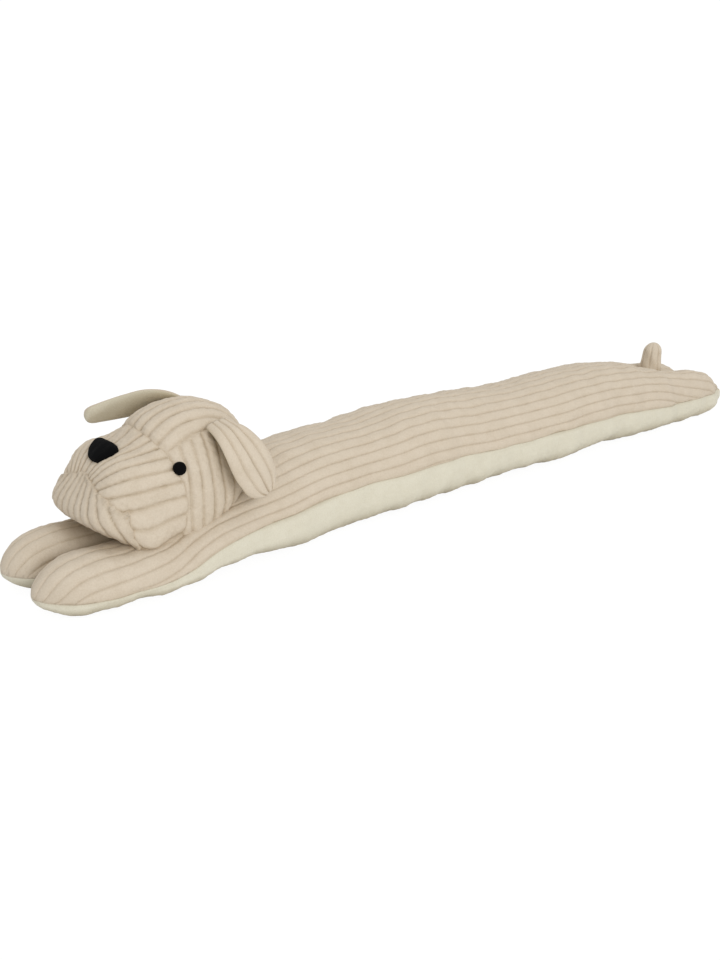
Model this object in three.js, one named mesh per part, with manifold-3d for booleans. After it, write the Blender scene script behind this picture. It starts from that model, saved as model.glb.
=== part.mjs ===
// A stuffed draught excluder in the form of a lying dog, in wide-ribbed and plain plush.
// Millimetres, +Z up. The origin is on the floor under the middle of the body. The head points to -X.
import * as THREE from 'three';
import { mergeVertices } from 'three/addons/utils/BufferGeometryUtils.js';
import Module from 'manifold-3d';

const wasm = await Module();
wasm.setup();

// Driving dimensions
const LENGTH = 900;
const GAP = 0.3;
const SEAT_GAP = 0.5;

// Ribs of the plush: the pitch across them, the depth of the groove between two, and its half width
const BODY_PITCH = 11.5;
const HEAD_PITCH = 10.2;
const GROOVE_DEPTH = 1.8;
const GROOVE_REACH = 0.2;

// Body: the lobes are the two front paws and the two hind legs
const LOBE_CENTRE = 28;
const FRONT_NOTCH_X = -392;
const REAR_NOTCH_X = 400;
const FRONT_END = { depth: 34, start: -LENGTH / 2 + 34 };
const REAR_END = { depth: 48, start: LENGTH / 2 - 48 };
const NOTCH_HALF = 4;
const FLOOR_HALF = 18;
const EQUATOR_SHARE = 0.3;
const SIDE_POWER = 2.15;
const UNDER_POWER = 1.85;

// Sections of the body along its length: half width at the widest, height of the back, height of the seam
const BODY_SECTIONS = [
  { x: -450, half: 56, crown: 39, seam: 17 },
  { x: -415, half: 60, crown: 42, seam: 14 },
  { x: -370, half: 67, crown: 44, seam: 16 },
  { x: -335, half: 69, crown: 50, seam: 22 },
  { x: -300, half: 66, crown: 60, seam: 31 },
  { x: -260, half: 61, crown: 70, seam: 35 },
  { x: -220, half: 58, crown: 80, seam: 39 },
  { x: -150, half: 57, crown: 85, seam: 42 },
  { x: -60, half: 57, crown: 91, seam: 43 },
  { x: 60, half: 56, crown: 86, seam: 40 },
  { x: 200, half: 55, crown: 87, seam: 39 },
  { x: 270, half: 52, crown: 80, seam: 34 },
  { x: 340, half: 50, crown: 66, seam: 29 },
  { x: 400, half: 48, crown: 57, seam: 27 },
  { x: 450, half: 39, crown: 38, seam: 25 },
];

// Head: two rounded forms that run into each other
const CRANIUM = { x: -307, z: 88, reach: { x: 56, y: 50, z: 48 }, power: 2, taper: 0.05, lean: 0, tilt: 0 };
const MUZZLE = { x: -340, z: 64.5, reach: { x: 54, y: 50, z: 37.5 }, power: 4, taper: 0.02, lean: 0.6, tilt: 0.43 };
const HEAD_BLEND = 16;
const HEAD_CORE = { x: -325, z: 80 };
const MUZZLE_RIBS = { core: [-325, 0, 70], axis: 0, count: 28 };
const CHIN_RIBS = { core: [-350, 0, 72], axis: 2, count: 40 };
const CHEEK_DEPTH = 14;

// Seams of the head, as side views (x, z) and, for the chin, a front view (y, z)
const MUZZLE_BACK = [
  [-354, 170], [-348, 121], [-344, 114], [-340, 106], [-335, 93], [-332, 80], [-330, 66], [-332, 54], [-337, 40],
  [-343, 20],
];
const MUZZLE_FRONT = [[-343, 0], [-470, 0], [-470, 170]];
const CHEEK_SIDE = [
  [-340, 106], [-330, 111], [-318, 115], [-304, 119], [-286, 117], [-262, 105], [-240, 88], [-220, 70], [-220, 10],
  [-343, 10], [-343, 20], [-337, 40], [-332, 54], [-330, 66], [-332, 80], [-335, 93],
];
const CHIN_FRONT = [
  [0, 93], [-10, 90], [-22, 87], [-34, 83], [-42, 78], [-47, 71], [-54, 65], [-62, 60],
  [-62, 10], [62, 10], [62, 60], [54, 65], [47, 71], [42, 78], [34, 83], [22, 87], [10, 90],
];
const CHIN_SIDE = [[-470, 120], [-376, 120], [-380, 72], [-380, 60], [-375, 51], [-371, 42], [-362, 10], [-470, 10]];

const EYE = { x: -334.5, z: 95.5, radius: 5, height: 3.2 };
const NOSE = { angle: 149.5, off: -2, width: 25, length: 24, height: 6 };
const TAIL = { x: 338, lean: 4, base: 27, top: 18, height: 41 };

// Ears: the middle line of the flap from its root to its tip, its width and the way its outer side faces
const EAR_THICKNESS = 8;
const LEFT_EAR = [
  { x: -297, y: -36, z: 121, width: 24, face: [0.1, -0.55, 0.83] },
  { x: -293, y: -49, z: 114, width: 30, face: [0.1, -0.8, 0.6] },
  { x: -287, y: -57, z: 101, width: 37, face: [0.1, -0.96, 0.25] },
  { x: -281, y: -61, z: 87, width: 39, face: [0.1, -0.99, 0.1] },
  { x: -276, y: -62, z: 76, width: 37, face: [0.1, -0.99, 0.1] },
  { x: -274, y: -62, z: 69, width: 26, face: [0.1, -0.99, 0.1] },
];
const RIGHT_EAR = [
  { x: -298, y: 32, z: 127, width: 24, face: [0.3, 0.55, 0.78] },
  { x: -311, y: 39, z: 127, width: 29, face: [0.3, 0.7, 0.65] },
  { x: -326, y: 45, z: 123, width: 30, face: [0.35, 0.72, 0.6] },
  { x: -340, y: 49, z: 120, width: 23, face: [0.35, 0.75, 0.55] },
  { x: -352, y: 52, z: 117.5, width: 18, face: [0.35, 0.75, 0.55] },
  { x: -359, y: 53, z: 116, width: 11, face: [0.35, 0.75, 0.55] },
];

const RIBBED_PLUSH = new THREE.MeshStandardMaterial({ color: 0xd9cbb6, roughness: 0.95, metalness: 0 });
const PLAIN_PLUSH = new THREE.MeshStandardMaterial({ color: 0xd8d4c4, roughness: 0.9, metalness: 0 });
const BLACK_PLUSH = new THREE.MeshStandardMaterial({ color: 0x0b0b0c, roughness: 0.85, metalness: 0 });

const mix = (a, b, t) => a + (b - a) * t;
const clamp = (value, low, high) => Math.min(high, Math.max(low, value));
const ease = (a, b, value) => {
  const t = clamp((value - a) / (b - a), 0, 1);
  return t * t * (3 - 2 * t);
};
const signedPower = (value, power) => Math.sign(value) * Math.abs(value) ** power;

// A value of a table of sections at x, on a smooth curve through the rows
function between(rows, x, column) {
  let i = 1;
  while (i < rows.length - 1 && rows[i].x < x) i += 1;
  const row = (k) => rows[clamp(k, 0, rows.length - 1)];
  const slope = (k) => (row(k + 1)[column] - row(k - 1)[column]) / (row(k + 1).x - row(k - 1).x);
  const [a, b] = [row(i - 1), row(i)];
  const span = b.x - a.x;
  const t = clamp((x - a.x) / span, 0, 1);
  const [t2, t3] = [t * t, t * t * t];
  return (2 * t3 - 3 * t2 + 1) * a[column] + (t3 - 2 * t2 + t) * span * slope(i - 1)
    + (3 * t2 - 2 * t3) * b[column] + (t3 - t2) * span * slope(i);
}

// Depth below the top of the ribs, where a groove lies at each whole number of the phase
function ribDepth(phase) {
  const away = Math.abs(phase - Math.round(phase));
  return away < GROOVE_REACH / 2 ? GROOVE_DEPTH : 0;
}

// The phases at which a rib needs points: its groove and both shoulders
function ribPhases(first, last) {
  const phases = [];
  for (let k = first; k <= last; k += 1) {
    phases.push(k, k + GROOVE_REACH, k + 1 - GROOVE_REACH);
  }
  phases.push(last + 1);
  return phases;
}

// Closed solid from a list of triangles, each three points of [x, y, z]
function solidOf(triangles) {
  const geometry = new THREE.BufferGeometry();
  geometry.setAttribute('position', new THREE.Float32BufferAttribute(triangles.flat(2), 3));
  const merged = mergeVertices(geometry, 1e-3);
  const position = merged.getAttribute('position');
  const index = Array.from(merged.getIndex().array);
  const kept = [];
  for (let i = 0; i < index.length; i += 3) {
    const [a, b, c] = index.slice(i, i + 3);
    if (a !== b && b !== c && c !== a) kept.push(a, b, c);
  }
  let volume = 0;
  const [pa, pb, pc] = [new THREE.Vector3(), new THREE.Vector3(), new THREE.Vector3()];
  for (let i = 0; i < kept.length; i += 3) {
    pa.fromBufferAttribute(position, kept[i]);
    pb.fromBufferAttribute(position, kept[i + 1]);
    pc.fromBufferAttribute(position, kept[i + 2]);
    volume += pa.dot(pb.cross(pc));
  }
  if (volume < 0) {
    for (let i = 0; i < kept.length; i += 3) [kept[i], kept[i + 1]] = [kept[i + 1], kept[i]];
  }
  return new wasm.Manifold(new wasm.Mesh({
    numProp: 3,
    vertProperties: new Float32Array(position.array),
    triVerts: new Uint32Array(kept),
  }));
}

// Two triangles between two edges of a grid, for each step of it
function strip(triangles, from, to) {
  for (let j = 0; j + 1 < from.length; j += 1) {
    triangles.push([from[j], to[j], to[j + 1]], [from[j], to[j + 1], from[j + 1]]);
  }
}

// The half section of the body at x: how far it is from the trunk's form to that of a lobe, and its sizes
function sectionSizes(x) {
  const depthIn = x < 0 ? FRONT_END.start - x : x - REAR_END.start;
  const end = x < 0 ? FRONT_END : REAR_END;
  const round = Math.sqrt(Math.max(0, 1 - clamp(depthIn / end.depth, 0, 1) ** 2));
  const notch = x < 0 ? FRONT_NOTCH_X : REAR_NOTCH_X;
  const lobe = x < 0 ? ease(-325, notch, x) : ease(325, notch, x);
  const past = x < 0 ? clamp((notch - x) / 30, 0, 1) : clamp((x - notch) / 25, 0, 1);
  const seam = between(BODY_SECTIONS, x, 'seam');
  const crown = between(BODY_SECTIONS, x, 'crown');
  const outer = between(BODY_SECTIONS, x, 'half') + 1.5 * Math.sin(x / 21) + 1.0 * Math.sin(x / 9.5 + 1);
  const toLobe = (y) => LOBE_CENTRE + (y - LOBE_CENTRE) * round;
  const toSeam = (z) => seam + (z - seam) * round;
  return {
    lobe,
    seam,
    crown: toSeam(crown),
    equator: toSeam(EQUATOR_SHARE * crown),
    floor: toSeam(0),
    outer: toLobe(outer),
    inner: toLobe(NOTCH_HALF * past),
    floorOuter: toLobe(mix(FLOOR_HALF, LOBE_CENTRE + 8, lobe)),
    floorInner: toLobe(Math.min(LOBE_CENTRE - 8, NOTCH_HALF * past + 10 * past)),
    middle: LOBE_CENTRE,
    open: past > 0,
  };
}

// The curve of a half section from the middle of the body, over the back, down to the floor
const SECTION_STEPS = 120;
const CREST_SHARE = 0.25;
const TRUNK_CREST_ANGLE = Math.PI / 3;
function sectionCurve(size) {
  const points = [];
  const rise = size.crown - size.equator;
  const trunkAt = (angle) => [
    size.outer * Math.cos(angle) ** (2 / SIDE_POWER),
    size.equator + rise * Math.sin(angle) ** (2 / SIDE_POWER),
  ];
  const underAt = (angle) => [
    size.floorOuter + (size.outer - size.floorOuter) * Math.cos(angle) ** (2 / UNDER_POWER),
    size.equator - (size.equator - size.floor) * Math.sin(angle) ** (2 / UNDER_POWER),
  ];
  for (let i = 0; i <= SECTION_STEPS; i += 1) {
    const share = i / SECTION_STEPS;
    let trunk;
    let lobe;
    if (share < CREST_SHARE) {
      const t = share / CREST_SHARE;
      trunk = trunkAt(mix(Math.PI / 2, TRUNK_CREST_ANGLE, t));
      const angle = t * Math.PI / 2;
      lobe = [
        size.middle - (size.middle - size.inner) * Math.cos(angle) ** (2 / SIDE_POWER),
        size.seam + (size.crown - size.seam) * Math.sin(angle) ** (2 / SIDE_POWER),
      ];
    } else {
      const t = (share - CREST_SHARE) / (1 - CREST_SHARE);
      const turn = mix(Math.PI / 2, -Math.PI / 2, t);
      const trunkTurn = mix(TRUNK_CREST_ANGLE, -Math.PI / 2, t);
      trunk = trunkTurn > 0 ? trunkAt(trunkTurn) : underAt(-trunkTurn);
      lobe = turn > 0 ? [
        size.middle + (size.outer - size.middle) * Math.cos(turn) ** (2 / SIDE_POWER),
        size.equator + rise * Math.sin(turn) ** (2 / SIDE_POWER),
      ] : underAt(-turn);
    }
    points.push([mix(trunk[0], lobe[0], size.lobe), mix(trunk[1], lobe[1], size.lobe)]);
  }
  return points;
}

// Arc length along a curve of 2-D points, one value for each point
function arcLengths(points) {
  const arcs = [0];
  for (let i = 1; i < points.length; i += 1) {
    arcs.push(arcs[i - 1] + Math.hypot(points[i][0] - points[i - 1][0], points[i][1] - points[i - 1][1]));
  }
  return arcs;
}

// The value of a list at the place where a rising list of keys reaches key
function pick(keys, values, key) {
  let i = 1;
  while (i < keys.length - 1 && keys[i] < key) i += 1;
  const t = clamp((key - keys[i - 1]) / (keys[i] - keys[i - 1] || 1), 0, 1);
  return values[i - 1].map((value, k) => mix(value, values[i][k], t));
}

// One station of a half of the body: the ribbed back, the plain side and the wall at the notch
const TRUNK_RIBS = 8;
const CREST_PHASE = 2.5;
const TOP_PHASES = ribPhases(-3, 8);
const SIDE_STEPS = 6;
const SEAM_FADE = 0.35;
function bodyStation(x, side) {
  const size = sectionSizes(x);
  const curve = sectionCurve(size);
  const arcs = arcLengths(curve);
  const crest = Math.round(SECTION_STEPS * CREST_SHARE);
  let last = crest;
  while (last < SECTION_STEPS && curve[last][1] > size.seam) last += 1;
  const share = (curve[last - 1][1] - size.seam) / (curve[last - 1][1] - curve[last][1] || 1);
  const seamArc = mix(arcs[last - 1], arcs[last], clamp(share, 0, 1));
  const phaseAt = (arc) => mix(
    arc / (seamArc || 1) * TRUNK_RIBS,
    CREST_PHASE + (arc - arcs[crest]) / BODY_PITCH,
    size.lobe,
  );
  const phases = arcs.map(phaseAt);
  const seamPhase = phaseAt(seamArc);
  const seamPoint = [mix(curve[last - 1][0], curve[last][0], clamp(share, 0, 1)), size.seam];
  const place = (point, lift = 0) => [x, side * point[0], point[1] + lift];
  const back = TOP_PHASES.map((wanted) => {
    let phase = clamp(wanted, phases[0], seamPhase);
    if (seamPhase - phase < 0.12) phase = seamPhase;
    if (phase - phases[0] < 0.12) phase = phases[0];
    const point = phase === seamPhase ? seamPoint : pick(phases, curve, phase);
    const ahead = pick(phases, curve, phase + 0.05);
    const behind = pick(phases, curve, phase - 0.05);
    const along = [ahead[0] - behind[0], ahead[1] - behind[1]];
    const length = Math.hypot(...along) || 1;
    const nearEdge = Math.min(seamPhase - phase, size.lobe > 0.3 ? phase - phases[0] : 1);
    const depth = ribDepth(phase) * clamp(nearEdge / SEAM_FADE, 0, 1);
    const sunk = [point[0] + along[1] / length * depth, point[1] - along[0] / length * depth];
    if (phase === phases[0]) sunk[0] = point[0];
    return place(sunk, GAP / 2);
  });
  const underPhases = phases.map((phase) => phase - seamPhase);
  const sideCurve = [];
  for (let k = 0; k <= SIDE_STEPS; k += 1) {
    const phase = underPhases[SECTION_STEPS] * (k / SIDE_STEPS);
    const point = k === 0 ? seamPoint : pick(underPhases, curve, phase);
    sideCurve.push(place(point, k === 0 ? -GAP / 2 : 0));
  }
  const inner = curve[0][0];
  const wall = [0, 0.4, 0.75, 1].map((t) => {
    const z = mix(size.seam, size.floor, t);
    const y = inner + (size.floorInner - size.inner) * t * t;
    return place([y, z], t === 0 ? -GAP / 2 : 0);
  });
  return {
    x,
    open: size.open,
    back,
    sideCurve,
    wall,
    seamOuterTop: place(seamPoint, GAP / 2),
    seamInnerTop: place([inner, size.seam], GAP / 2),
  };
}

// Places along the body that carry a section: close together at the round ends
function bodyStations() {
  const places = [];
  const endSteps = 6;
  for (let k = 0; k < endSteps; k += 1) {
    const angle = (k / endSteps) * Math.PI / 2;
    places.push(FRONT_END.start - FRONT_END.depth * Math.cos(angle));
  }
  places.push(FRONT_END.start, (FRONT_END.start + FRONT_NOTCH_X) / 2);
  const middleSteps = 30;
  for (let k = 0; k <= middleSteps; k += 1) places.push(mix(FRONT_NOTCH_X, REAR_NOTCH_X, k / middleSteps));
  for (let k = 0; k <= endSteps; k += 1) {
    const angle = (k / endSteps) * Math.PI / 2;
    places.push(REAR_END.start + REAR_END.depth * Math.sin(angle));
  }
  return [...new Set(places.map((x) => Math.round(x * 10) / 10))].sort((a, b) => a - b);
}

// The two solids of the body, above and below the seam
function body() {
  const top = [];
  const base = [];
  for (const side of [-1, 1]) {
    const stations = bodyStations().map((x) => bodyStation(x, side));
    for (let i = 0; i + 1 < stations.length; i += 1) {
      const [a, b] = side < 0 ? [stations[i], stations[i + 1]] : [stations[i + 1], stations[i]];
      strip(top, a.back, b.back);
      strip(top, [a.seamOuterTop, a.seamInnerTop], [b.seamOuterTop, b.seamInnerTop]);
      strip(base, a.sideCurve, b.sideCurve);
      strip(base, [a.sideCurve.at(-1), a.wall.at(-1)], [b.sideCurve.at(-1), b.wall.at(-1)]);
      strip(base, [a.wall[0], a.sideCurve[0]], [b.wall[0], b.sideCurve[0]]);
      if (a.open || b.open) strip(base, [...a.wall].reverse(), [...b.wall].reverse());
    }
  }
  return { top: solidOf(top), base: solidOf(base) };
}

// How far a point lies outside (above 0) or inside (below 0) one rounded form of the head
function outside(form, x, y, z) {
  const rise = z - form.z + form.tilt * (x - form.x);
  const height = rise / form.reach.z;
  const narrow = 1 - form.taper * clamp(height + 0.3, -1, 1.3);
  const forward = x - form.x - form.lean * rise;
  const terms = [forward / form.reach.x, y / (form.reach.y * narrow), height];
  const sum = terms.reduce((total, term) => total + Math.abs(term) ** form.power, 0);
  return (sum ** (1 / form.power) - 1) * form.reach.z;
}

// The head's skin, where the two forms run into each other, is where this is zero
function headField(x, y, z) {
  const a = outside(CRANIUM, x, y, z);
  const b = outside(MUZZLE, x, y, z);
  const near = Math.max(HEAD_BLEND - Math.abs(a - b), 0) / HEAD_BLEND;
  return Math.min(a, b) - near * near * HEAD_BLEND / 4;
}

// Distance from a point inside the head to its skin, along a direction
const RAY_REACH = 160;
const RAY_HALVINGS = 30;
function toSkin(from, direction) {
  let [low, high] = [0, RAY_REACH];
  for (let k = 0; k < RAY_HALVINGS; k += 1) {
    const middle = (low + high) / 2;
    const inside = headField(...from.map((value, i) => value + direction[i] * middle)) < 0;
    [low, high] = inside ? [middle, high] : [low, middle];
  }
  return low;
}

// The point of the skin straight out from a point inside the head, and the way the skin faces there
const FACE_STEP = 0.5;
function skinSpot(from, direction) {
  const distance = toSkin(from, direction);
  const spot = from.map((value, i) => value + direction[i] * distance);
  const face = [0, 1, 2].map((axis) => {
    const shifted = (step) => headField(...spot.map((value, i) => (i === axis ? value + step : value)));
    return shifted(FACE_STEP) - shifted(-FACE_STEP);
  });
  return { spot, face };
}

// A ribbed solid of the whole head from slices across it, each a ring of points around the core
function slicedHead(slices, ringSize) {
  const rings = slices.map(({ core, turn, depthAt }) => {
    const ring = [];
    for (let k = 0; k <= ringSize; k += 1) {
      const angle = (k % ringSize) / ringSize * 2 * Math.PI;
      const direction = turn(angle);
      const distance = Math.max(toSkin(core, direction) - depthAt(angle), 0);
      ring.push(core.map((value, i) => value + direction[i] * distance));
    }
    return ring;
  });
  const triangles = [];
  for (let i = 0; i + 1 < rings.length; i += 1) strip(triangles, rings[i], rings[i + 1]);
  return solidOf(triangles);
}

// Head with ribs that run from front to back, side by side across it
const RIB_CURVE = 52;
const HALF_RIBS = 6;
function headRibbedAcross(ringSize) {
  const reach = toSkin([HEAD_CORE.x, 0, HEAD_CORE.z], [0, 1, 0]);
  const phases = ribPhases(-HALF_RIBS, HALF_RIBS - 1);
  const inner = phases.map((phase) => ({ phase, y: RIB_CURVE * Math.sin(phase * HEAD_PITCH / RIB_CURVE) }));
  const slices = inner.filter(({ y }) => Math.abs(y) < reach - 0.8);
  const ends = [-reach, reach].map((y) => ({ phase: HALF_RIBS, y }));
  const turn = (angle) => [Math.cos(angle), 0, Math.sin(angle)];
  return slicedHead([ends[0], ...slices, ends[1]].map(({ phase, y }) => ({
    core: [HEAD_CORE.x, y, HEAD_CORE.z],
    turn,
    depthAt: () => (Math.abs(y) < reach ? ribDepth(phase) : RAY_REACH),
  })), ringSize);
}

// Head with upright ribs, side by side from front to back
function headRibbedUpright(ringSize) {
  const core = [HEAD_CORE.x, 0, HEAD_CORE.z];
  const front = core[0] - toSkin(core, [-1, 0, 0]);
  const back = core[0] + toSkin(core, [1, 0, 0]);
  const count = Math.floor((back - front) / HEAD_PITCH);
  const slices = ribPhases(0, count - 1).map((phase) => ({ phase, x: front + (phase + 0.4) * HEAD_PITCH }))
    .filter(({ x }) => x > front + 0.8 && x < back - 0.8);
  const turn = (angle) => [0, Math.cos(angle), Math.sin(angle)];
  return slicedHead([{ phase: 0, x: front }, ...slices, { phase: 0, x: back }].map(({ phase, x }) => ({
    core: [x, 0, HEAD_CORE.z],
    turn,
    depthAt: () => (x > front && x < back ? ribDepth(phase) : RAY_REACH),
  })), ringSize);
}

// Head with ribs side by side around an axis: lengthwise for the muzzle, upright for the chin
const AROUND_RINGS = 18;
function headRibbedAround({ core, axis, count }) {
  const unit = [0, 1, 2].map((k) => (k === axis ? 1 : 0));
  const first = core[axis] - toSkin(core, unit.map((value) => -value));
  const last = core[axis] + toSkin(core, unit);
  const [across, up] = [0, 1, 2].filter((k) => k !== axis);
  const phases = ribPhases(0, count - 1);
  const rings = [];
  for (let i = 0; i <= AROUND_RINGS; i += 1) {
    const place = mix(first, last, 0.5 - Math.cos(i / AROUND_RINGS * Math.PI) / 2);
    const from = core.map((value, k) => (k === axis ? place : value));
    rings.push(phases.map((phase) => {
      const angle = (phase % count) / count * 2 * Math.PI;
      const direction = [0, 0, 0];
      direction[across] = Math.cos(angle);
      direction[up] = Math.sin(angle);
      const end = i === 0 || i === AROUND_RINGS;
      const distance = end ? 0 : Math.max(toSkin(from, direction) - ribDepth(phase), 0.1);
      return from.map((value, k) => value + direction[k] * distance);
    }));
  }
  const triangles = [];
  for (let i = 0; i + 1 < rings.length; i += 1) strip(triangles, rings[i], rings[i + 1]);
  return solidOf(triangles);
}

// A closed outline moved outward by a distance, or inward by a negative one
function offsetOutline(outline, distance) {
  const area = outline.reduce((total, [x, y], i) => {
    const [nextX, nextY] = outline[(i + 1) % outline.length];
    return total + x * nextY - nextX * y;
  }, 0);
  const outward = Math.sign(area);
  return outline.map((point, i) => {
    const before = outline[(i + outline.length - 1) % outline.length];
    const after = outline[(i + 1) % outline.length];
    const normals = [[before, point], [point, after]].map(([a, b]) => {
      const length = Math.hypot(b[0] - a[0], b[1] - a[1]);
      return [(b[1] - a[1]) / length * outward, (a[0] - b[0]) / length * outward];
    });
    const sum = [normals[0][0] + normals[1][0], normals[0][1] + normals[1][1]];
    const scale = distance * 2 / (sum[0] ** 2 + sum[1] ** 2);
    return [point[0] + sum[0] * scale, point[1] + sum[1] * scale];
  });
}

// Straight-sided block from an outline, its points placed in space by toSpace(a, b, depth)
function block(outline, from, to, toSpace) {
  const shape = new THREE.Shape(outline.map(([a, b]) => new THREE.Vector2(a, b)));
  const geometry = new THREE.ExtrudeGeometry(shape, { depth: to - from, bevelEnabled: false });
  const position = geometry.getAttribute('position');
  const triangles = [];
  for (let i = 0; i < position.count; i += 3) {
    triangles.push([0, 1, 2].map((k) => toSpace(
      position.getX(i + k), position.getY(i + k), from + position.getZ(i + k),
    )));
  }
  return solidOf(triangles);
}
const sideBlock = (outline, from, to) => block(outline, from, to, (a, b, depth) => [a, depth, b]);
const frontBlock = (outline, from, to) => block(outline, from, to, (a, b, depth) => [depth, a, b]);

// The five cut pieces of the head, each a filled solid with its own ribs
const HEAD_REACH = 90;
const HEAD_FRONT_X = -480;
function head() {
  const muzzleSide = [...MUZZLE_BACK, ...MUZZLE_FRONT];
  const half = GAP / 2;
  const across = headRibbedAcross(44);
  const chinBlock = (offset) => frontBlock(offsetOutline(CHIN_FRONT, offset), HEAD_FRONT_X, HEAD_CORE.x)
    .intersect(sideBlock(offsetOutline(CHIN_SIDE, offset), -HEAD_REACH, HEAD_REACH));
  const muzzlePart = sideBlock(offsetOutline(muzzleSide, -half), -HEAD_REACH, HEAD_REACH);
  const muzzleRoom = sideBlock(offsetOutline(muzzleSide, half), -HEAD_REACH, HEAD_REACH);
  const muzzle = headRibbedAround(MUZZLE_RIBS).intersect(muzzlePart).subtract(chinBlock(half));
  const chin = headRibbedAround(CHIN_RIBS).intersect(chinBlock(-half));
  const upright = headRibbedUpright(40);
  const cheeks = [-1, 1].map((side) => {
    const range = (near, far) => [side * near, side * far].sort((a, b) => a - b);
    const part = sideBlock(offsetOutline(CHEEK_SIDE, -half), ...range(CHEEK_DEPTH + half, HEAD_REACH));
    const room = sideBlock(offsetOutline(CHEEK_SIDE, half), ...range(CHEEK_DEPTH - half, HEAD_REACH));
    return { solid: upright.intersect(part), room };
  });
  const crown = across.subtract(muzzleRoom).subtract(cheeks[0].room).subtract(cheeks[1].room);
  return {
    head_crown: crown,
    head_muzzle: muzzle,
    head_chin: chin,
    cheek_left: cheeks[0].solid,
    cheek_right: cheeks[1].solid,
  };
}

// One layer of an ear: half of a flat oval section along the rows, ribbed on the outer side
const EAR_RIBS = 4;
const EAR_COLUMNS = [-1, -0.8, -0.5, 0, 0.5, 0.8, 1];
function earLayer(rows, outer) {
  const centres = rows.map((row) => new THREE.Vector3(row.x, row.y, row.z));
  const rings = rows.map((row, i) => {
    const along = centres[Math.min(i + 1, rows.length - 1)].clone().sub(centres[Math.max(i - 1, 0)]).normalize();
    const face = new THREE.Vector3(...row.face).normalize();
    const across = new THREE.Vector3().crossVectors(face, along).normalize();
    const out = new THREE.Vector3().crossVectors(along, across).normalize().multiplyScalar(outer ? 1 : -1);
    const spot = (t, rise) => centres[i].clone().addScaledVector(across, t * row.width / 2)
      .addScaledVector(out, GAP / 2 + rise).toArray();
    const columns = outer
      ? ribPhases(-EAR_RIBS / 2, EAR_RIBS / 2 - 1).map((phase) => phase / (EAR_RIBS / 2))
      : EAR_COLUMNS;
    const raised = columns.map((t) => {
      const depth = outer && Math.abs(t) < 0.9 ? ribDepth(t * EAR_RIBS / 2) * 0.7 : 0;
      return spot(t, Math.max(EAR_THICKNESS / 2 * Math.sqrt(1 - t * t) - depth, 0));
    });
    const flat = [...EAR_COLUMNS].reverse().slice(1).map((t) => spot(t, 0));
    return [...raised, ...flat];
  });
  const triangles = [];
  const cap = (ring) => {
    for (let k = 1; k + 2 < ring.length; k += 1) triangles.push([ring[0], ring[k], ring[k + 1]]);
  };
  for (let i = 0; i + 1 < rings.length; i += 1) strip(triangles, rings[i], rings[i + 1]);
  cap(rings[0]);
  cap([...rings.at(-1)].reverse());
  return solidOf(triangles);
}

// A flat-backed pad with a rounded outline, its middle at centre and its back towards the head
function pad(centre, outward, up, outlineAt, height) {
  const normal = new THREE.Vector3(...outward).normalize();
  const side = new THREE.Vector3().crossVectors(new THREE.Vector3(...up), normal).normalize();
  const top = new THREE.Vector3().crossVectors(normal, side).normalize();
  const middle = new THREE.Vector3(...centre);
  const ringSize = 28;
  const levels = [[0, -0.6], [1, -0.6], [1.04, 0], [0.97, 0.45], [0.8, 0.8], [0.45, 0.97], [0, 1]];
  const rings = levels.map(([scale, lift]) => {
    const ring = [];
    for (let k = 0; k <= ringSize; k += 1) {
      const [a, b] = outlineAt((k % ringSize) / ringSize * 2 * Math.PI);
      const point = middle.clone().addScaledVector(side, a * scale).addScaledVector(top, b * scale)
        .addScaledVector(normal, lift * height);
      ring.push([point.x, point.y, point.z]);
    }
    return ring;
  });
  const triangles = [];
  for (let i = 0; i + 1 < rings.length; i += 1) strip(triangles, rings[i], rings[i + 1]);
  return solidOf(triangles);
}

// The nose is a rounded shield, wider above than below
const NOSE_NARROW = 0.22;
function noseOutline(angle) {
  const up = signedPower(Math.sin(angle), 0.85);
  const across = signedPower(Math.cos(angle), 0.8);
  return [across * NOSE.width / 2 * (1 + NOSE_NARROW * up), up * NOSE.length / 2];
}

// The short stuffed tail: upright ribs around a tube that narrows to a round tip
const TAIL_RIBS = 7;
function tail(bottom) {
  const phases = ribPhases(0, TAIL_RIBS - 1);
  const levels = [[0, 1], [0.3, 0.97], [0.6, 0.88], [0.8, 0.8], [0.93, 0.62], [1, 0]];
  const rings = [[0, 0], ...levels].map(([height, scale]) => phases.map((phase) => {
    const angle = phase / TAIL_RIBS * 2 * Math.PI;
    const wide = mix(TAIL.base, TAIL.top, height) / 2 / 0.9;
    const radius = scale === 0 ? 0 : wide * scale - ribDepth(phase) * 0.5;
    const x = TAIL.x + TAIL.lean * height + radius * Math.cos(angle);
    return [x, radius * Math.sin(angle), bottom + height * TAIL.height];
  }));
  const triangles = [];
  for (let i = 0; i + 1 < rings.length; i += 1) strip(triangles, rings[i], rings[i + 1]);
  return solidOf(triangles);
}

// A named mesh of a solid, with the triangles that the solid gives back
function meshOf(name, solid, material) {
  const { vertProperties, triVerts, numProp } = solid.getMesh();
  const positions = [];
  for (let i = 0; i < vertProperties.length; i += numProp) positions.push(...vertProperties.slice(i, i + 3));
  const geometry = new THREE.BufferGeometry();
  geometry.setAttribute('position', new THREE.Float32BufferAttribute(positions, 3));
  geometry.setIndex(Array.from(triVerts));
  geometry.computeVertexNormals();
  const mesh = new THREE.Mesh(geometry, material);
  mesh.name = name;
  return mesh;
}

// A solid cut to lie on others, which are taken to be a small gap nearer to it
function fitted(solid, carriers, direction, gap) {
  const unit = new THREE.Vector3(...direction).normalize().multiplyScalar(gap);
  return carriers.reduce(
    (left, carrier) => left.subtract(carrier).subtract(carrier.translate([unit.x, unit.y, unit.z])),
    solid,
  );
}

const group = new THREE.Group();
const { top: bodyTop, base: bodyBase } = body();
group.add(meshOf('body_top', bodyTop, RIBBED_PLUSH), meshOf('body_base', bodyBase, PLAIN_PLUSH));

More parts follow.
